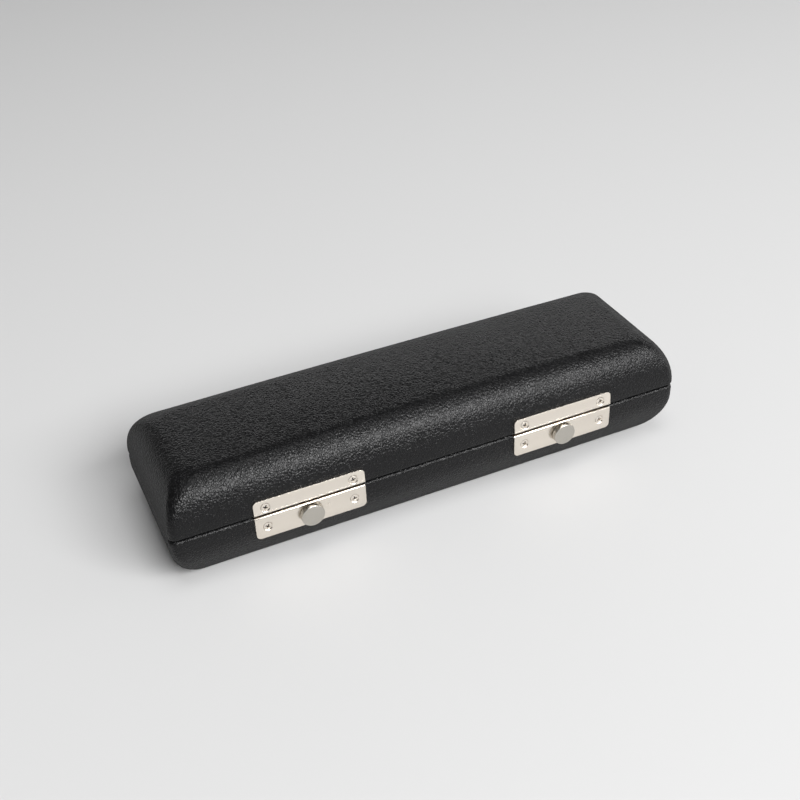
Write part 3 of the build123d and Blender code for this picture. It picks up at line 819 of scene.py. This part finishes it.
def screw_tree():
    """Geometry Nodes tree that sets a screw on each point, aimed by its normal and turned at random."""
    tree = bpy.data.node_groups.new("Screw set", "GeometryNodeTree")
    tree.interface.new_socket("Geometry", in_out="OUTPUT", socket_type="NodeSocketGeometry")
    for name, kind in (("Places", "Geometry"), ("Screw", "Object"), ("Scale", "Float"), ("Seed", "Int"),
                       ("Finish", "Material")):
        tree.interface.new_socket(name, in_out="INPUT", socket_type=f"NodeSocket{kind}")
    given = add(tree, "NodeGroupInput").outputs
    aim = add(tree, "GeometryNodeInputNamedAttribute", {"Name": "aim"}, data_type="FLOAT_VECTOR")
    upright = add(tree, "FunctionNodeAlignRotationToVector", {"Vector": aim.outputs["Attribute"]}, axis="Z")
    spin = add(tree, "FunctionNodeRandomValue", {"Seed": given["Seed"]}, data_type="FLOAT")
    # The greatest angle that is drawn
    spin.inputs[3].default_value = math.pi / 2
    turn = add(tree, "FunctionNodeAxisAngleToRotation", {"Axis": (0, 0, 1), "Angle": spin.outputs[1]})
    both = add(tree, "FunctionNodeRotateRotation", {0: upright.outputs[0], 1: turn.outputs[0]},
               rotation_space="LOCAL")
    screw = add(tree, "GeometryNodeObjectInfo", {"Object": given["Screw"]})
    placed = add(tree, "GeometryNodeInstanceOnPoints", {
        "Points": given["Places"], "Instance": screw.outputs["Geometry"], "Rotation": both.outputs[0],
        "Scale": given["Scale"]})
    real = add(tree, "GeometryNodeRealizeInstances", {"Geometry": placed.outputs[0]})
    painted = add(tree, "GeometryNodeSetMaterial", {"Geometry": real.outputs[0], "Material": given["Finish"]})
    add(tree, "NodeGroupOutput", {"Geometry": painted.outputs[0]})
    return tree


def screw_places(node):
    """Head centre and outward direction of each screw of a set, read from its flat heads."""
    mesh = bmesh.new()
    mesh.from_mesh(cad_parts[node].data)
    bmesh.ops.remove_doubles(mesh, verts=mesh.verts, dist=WELD)
    mesh.verts.index_update()
    mesh.faces.index_update()
    places = []
    left = set(mesh.verts)
    while left:
        island, queue = set(), [next(iter(left))]
        while queue:
            vertex = queue.pop()
            if vertex in island:
                continue
            island.add(vertex)
            queue += [edge.other_vert(vertex) for edge in vertex.link_edges]
        left -= island
        # Summed in the mesh's order, so that each run gives the same places
        middle = sum((v.co for v in sorted(island, key=lambda v: v.index)), Vector()) / len(island)
        ways = {}
        for face in sorted({f for v in island for f in v.link_faces}, key=lambda f: f.index):
            ways.setdefault(tuple(round(x, 2) for x in face.normal), []).append(face)
        flats = max(ways.values(), key=lambda faces: sum(f.calc_area() for f in faces))
        aim = sum((f.normal * f.calc_area() for f in flats), Vector()).normalized()
        reach = max(v.co.dot(aim) for f in flats for v in f.verts)
        shaft = middle - aim * middle.dot(aim)
        places.append((shaft + aim * reach, aim))
    mesh.free()
    return sorted(places, key=lambda p: p[0].x)


class PICCOLO_OT_screws(bpy.types.Operator):
    """Cross-head screws of the latches and hinges, one set for each body and fitting"""

    bl_idname = "piccolo.screws"
    bl_label = "Screws"

    def execute(self, context):
        hardware = settings("hardware")
        screw = cross_head_screw()
        tree = screw_tree()
        for node, body in (("base_latch_screws", "base"), ("lid_latch_screws", "lid"),
                           ("base_hinge_screws", "base"), ("lid_hinge_screws", "lid")):
            places = screw_places(node)
            piece = new_piece(f"{node}_set", [p - a * hardware.screw_sink for p, a in places], [])
            aims = piece.data.attributes.new("aim", "FLOAT_VECTOR", "POINT")
            aims.data.foreach_set("vector", [x for _, a in places for x in a])
            modifier = piece.modifiers.new("Screws", "NODES")
            modifier.node_group = tree
            sockets = {s.name: s.identifier for s in tree.interface.items_tree if s.in_out == "INPUT"}
            modifier[sockets["Screw"]] = screw
            modifier[sockets["Scale"]] = 1.0
            modifier[sockets["Seed"]] = hardware.screw_seed
            modifier[sockets["Finish"]] = made_of(plated_nickel)
            bake(piece)
            dress(piece, body, "screw_metal", made_of(plated_nickel), node, sharp=30.0)
        bpy.data.objects.remove(screw)
        return {"FINISHED"}


class PICCOLO_OT_well_block(bpy.types.Operator):
    """Plush-covered well block with soft edges"""

    bl_idname = "piccolo.well_block"
    bl_label = "Well block"

    def execute(self, context):
        interior = settings("interior")
        piece = node_copy("well_block_plush", "well_block")
        tidy(piece, weld=WELD)
        voxels = piece.modifiers.new("Cells", "REMESH")
        voxels.mode = "VOXEL"
        voxels.voxel_size = interior.voxel
        soft = piece.modifiers.new("Soften", "SMOOTH")
        soft.factor = 0.5
        soft.iterations = interior.soften
        bake(piece)
        swell(piece, amount=0.25 * MM, span=14 * MM)
        dress(piece, "base", "plush", made_of(cotton_plush), "well_block", sharp=180.0)
        return {"FINISHED"}


class PICCOLO_OT_lining(bpy.types.Operator):
    """Plush lining of the lid, with a padded panel under the top"""

    bl_idname = "piccolo.lining"
    bl_label = "Lid lining"

    # How much of the lid's rounding the lining's inner face follows
    follow = 0.75

    def execute(self, context):
        form, interior = settings("form"), settings("interior")
        lid = halves()["lid"]
        inner = form.skin + interior.lining
        seat = HEIGHT - form.skin - interior.pad + interior.pad_seat
        self.walls(lid, form.skin + settings("hardware").glue_line, inner, seat)
        self.panel(lid, inner, seat)
        return {"FINISHED"}

    def walls(self, lid, outer, inner, seat):
        """The side lining, with a hem at its foot and a flat ceiling at the pad's seat."""
        width, drop, steps, hem_steps = settings("interior").hem, 0.3, 18, 4
        low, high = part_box("lid_lining")

        def bow(offset, share, top):
            """Levels of a face from the foot to its top."""
            reach = top - lid.knee
            start = math.asin((low.z - lid.knee) / reach)
            turns = [start + (math.pi / 2 - start) * k / steps for k in range(steps + 1)]
            return [(offset, share * (1 - math.cos(a)), lid.knee + reach * math.sin(a)) for a in turns]

        def hem(offset, way, share, turns):
            """Levels of a half of the hem, below the foot of its face."""
            return [(offset + way * width * (1 - math.cos(a)), share, low.z - width * math.sin(a) * drop)
                    for a in turns]

        outside, inside = bow(outer, 1, high.z), bow(inner, self.follow, seat)
        rows = [*reversed(outside), *hem(outer, 1, outside[0][1], arc(hem_steps)[1:]),
                *hem(inner, -1, inside[0][1], reversed(arc(hem_steps)[:-1])), *inside[1:]]
        levels = [case_ring(offset, share, height, lid.rounding, lid.growth)
                  for offset, share, height in rows]
        points, faces, *_ = closed_stack(levels)
        walls = new_piece("lid_lining_plush", points, faces)
        tidy(walls)
        dress(walls, "lid", "plush", made_of(cotton_plush), "lid_lining", sharp=60.0)

    def panel(self, lid, inner, seat):
        """The padded panel: it rises over its edge and swells towards its middle."""
        interior = settings("interior")
        end, side = [half - inner - self.follow * (rounding - inner) - interior.pad_margin
                     for half, rounding in zip((LENGTH / 2, WIDTH / 2), lid.rounding)]
        corner, steps = 5 * MM, 10
        # Of the corner, the back's radius and the edge's pull; of the depth, the edge's rise and the swell's
        tuck, lap, rolled, swollen = 0.4, 0.9, 0.8, 0.2
        depth = interior.pad_seat - 0.1 * MM
        rings = [rounded_ring(end - corner, side - corner, corner * tuck, seat - 0.05 * MM)]
        for a in arc(steps):
            pull = corner * lap * (1 - math.cos(a))
            height = seat - 0.15 * MM - depth * rolled * math.sin(a)
            rings.append(rounded_ring(end - pull, side - pull, corner, height))
        points, faces, _, under = closed_stack(rings)
        for point in points[under:]:
            swelled = (1 - (point.x / end) ** 2) * (1 - (point.y / side) ** 2)
            point.z -= swollen * depth * max(swelled, 0) ** 2
        pad = new_piece("lid_pad_plush", points, faces)
        tidy(pad)
        dress(pad, "lid", "plush", made_of(cotton_plush), "lid_lining", sharp=180.0)


class PICCOLO_OT_inner_parts(bpy.types.Operator):
    """Finishes on the pieces that keep their solids: shells, guides, bolts and springs"""

    bl_idname = "piccolo.inner_parts"
    bl_label = "Inner parts"

    def execute(self, context):
        finishes = {"base_shell": beech_ply, "lid_shell": beech_ply}
        for side in SIDES:
            finishes[f"latch_guide_{side}"] = zinc_steel
            finishes[f"bolt_{side}"] = zinc_steel
            finishes[f"latch_spring_{side}"] = spring_wire
        for node, finish in finishes.items():
            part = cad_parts[node]
            part.data.materials.clear()
            part.data.materials.append(made_of(finish))
        return {"FINISHED"}


class PICCOLO_OT_stage(bpy.types.Operator):
    """Pale table, soft lamps and the camera"""

    bl_idname = "piccolo.stage"
    bl_label = "Stage"

    def execute(self, context):
        studio = settings("studio")
        self.table()
        self.world()
        # Azimuth and elevation in degrees, distance and size in metres
        self.lamp("key_softbox", 162, 37, 2.8, (2.2, 1.15), studio.key_power)
        self.lamp("top_softbox", 180, 80, 2.4, (1.3, 1.3), studio.top_power)
        self.lamp("side_softbox", 110, 16, 3.2, (2.5, 0.9), studio.side_power)
        self.camera(context)
        return {"FINISHED"}

    def table(self):
        """A large pale disc, level with the underside."""
        radius, steps = 4.0, 96
        turns = [math.tau * k / steps for k in range(steps)]
        points = [(radius * math.cos(turn), radius * math.sin(turn), 0) for turn in turns]
        table = new_piece("table", points, [tuple(range(steps))])
        table.data.materials.append(made_of(table_top))

    def world(self):
        """Dim light from all round, the glow of a lit screen behind, and a pale backdrop at the horizon."""
        studio = settings("studio")
        # Heights are sines of the elevation, and the screen's edge and middle cosines of the turn to it
        screen_top, screen_foot, screen_side = 0.43, 0.2, (0.57, 0.82, 0.0)
        screen_edge, screen_middle = 0.4, 1.0
        haze_top, haze_foot = 0.1, 0.02
        world = bpy.data.worlds.new("studio")
        world.use_nodes = True
        tree = world.node_tree
        tree.nodes.clear()
        aim = add(tree, "ShaderNodeTexCoord").outputs["Generated"]
        height = add(tree, "ShaderNodeSeparateXYZ", {0: aim}).outputs["Z"]
        low = add(tree, "ShaderNodeMapRange", {
            "Value": height, "From Min": screen_top, "From Max": screen_foot},
            interpolation_type="SMOOTHSTEP").outputs[0]
        facing = add(tree, "ShaderNodeVectorMath", {0: aim, 1: screen_side},
                     operation="DOT_PRODUCT").outputs["Value"]
        behind = add(tree, "ShaderNodeMapRange", {
            "Value": facing, "From Min": screen_edge, "From Max": screen_middle},
            interpolation_type="SMOOTHSTEP").outputs[0]
        glow = add(tree, "ShaderNodeMath", {0: low, 1: behind}, operation="MULTIPLY").outputs[0]
        strength = add(tree, "ShaderNodeMath", {0: glow, 1: studio.glow, 2: studio.room},
                       operation="MULTIPLY_ADD").outputs[0]
        room = add(tree, "ShaderNodeBackground", {"Color": (1, 1, 1, 1), "Strength": strength})
        backdrop = add(tree, "ShaderNodeBackground", {"Color": rgba(studio.backdrop), "Strength": 1.0})
        horizon = add(tree, "ShaderNodeMapRange", {
            "Value": height, "From Min": haze_top, "From Max": haze_foot},
            interpolation_type="SMOOTHSTEP").outputs[0]
        mix = add(tree, "ShaderNodeMixShader", {0: horizon, 1: room.outputs[0], 2: backdrop.outputs[0]})
        add(tree, "ShaderNodeOutputWorld", {"Surface": mix.outputs[0]})
        bpy.context.scene.world = world

    def lamp(self, name, azimuth, elevation, distance, size, power):
        """A soft lamp aimed at the case and hidden from the camera; azimuth is clockwise from +Y."""
        turn, climb = math.radians(azimuth), math.radians(elevation)
        out = Vector((math.sin(turn) * math.cos(climb), math.cos(turn) * math.cos(climb), math.sin(climb)))
        data = bpy.data.lights.new(name, "AREA")
        data.shape = "RECTANGLE"
        data.size, data.size_y = size
        data.energy = power
        lamp = put(name, data)
        lamp.location = out * distance
        lamp.rotation_mode = "QUATERNION"
        lamp.rotation_quaternion = (-out).to_track_quat("-Z", "Y")
        lamp.visible_camera = False

    def camera(self, context):
        """The photograph's view."""
        studio = settings("studio")
        yaw, pitch, roll = studio.camera_yaw, studio.camera_pitch, studio.camera_roll
        ahead = Vector((math.sin(yaw) * math.cos(pitch), math.cos(yaw) * math.cos(pitch), -math.sin(pitch)))
        level = Vector((math.cos(yaw), -math.sin(yaw), 0))
        upright = level.cross(ahead)
        right = level * math.cos(roll) + upright * math.sin(roll)
        up = upright * math.cos(roll) - level * math.sin(roll)
        data = bpy.data.cameras.new("camera")
        data.sensor_width = 36.0
        data.lens = studio.lens
        data.clip_start = 0.01
        camera = put("camera", data)
        camera.matrix_world = Matrix.Translation(studio.camera_place) @ Matrix(
            (right, up, -ahead)).transposed().to_4x4()
        context.scene.camera = camera
        context.scene.view_settings.view_transform = "Standard"


STEPS = (PICCOLO_OT_covers, PICCOLO_OT_plates, PICCOLO_OT_knobs, PICCOLO_OT_pins, PICCOLO_OT_screws,
         PICCOLO_OT_well_block, PICCOLO_OT_lining, PICCOLO_OT_inner_parts, PICCOLO_OT_stage)


class PICCOLO_PT_panel(bpy.types.Panel):
    """Lists the steps that build the case"""

    bl_idname = "PICCOLO_PT_panel"
    bl_label = "Piccolo case"
    bl_space_type = "VIEW_3D"
    bl_region_type = "UI"
    bl_category = "Piccolo case"

    def draw(self, context):
        for step in STEPS:
            self.layout.operator(step.bl_idname)
        for name, group in SETTINGS.items():
            box = self.layout.box()
            for key in group.__annotations__:
                box.prop(getattr(context.scene, f"piccolo_{name}"), key)


CLASSES = (*SETTINGS.values(), *STEPS, PICCOLO_PT_panel)


def register():
    """Adds the classes and the scene's settings."""
    for item in CLASSES:
        bpy.utils.register_class(item)
    for name, group in SETTINGS.items():
        setattr(bpy.types.Scene, f"piccolo_{name}", PointerProperty(type=group))


def unregister():
    """Takes them away again."""
    for name in SETTINGS:
        delattr(bpy.types.Scene, f"piccolo_{name}")
    for item in reversed(CLASSES):
        bpy.utils.unregister_class(item)


def main():
    """Builds every piece and the stage."""
    register()
    for step in STEPS:
        group, name = step.bl_idname.split(".")
        getattr(getattr(bpy.ops, group), name)()


if __name__ == "__main__":
    main()
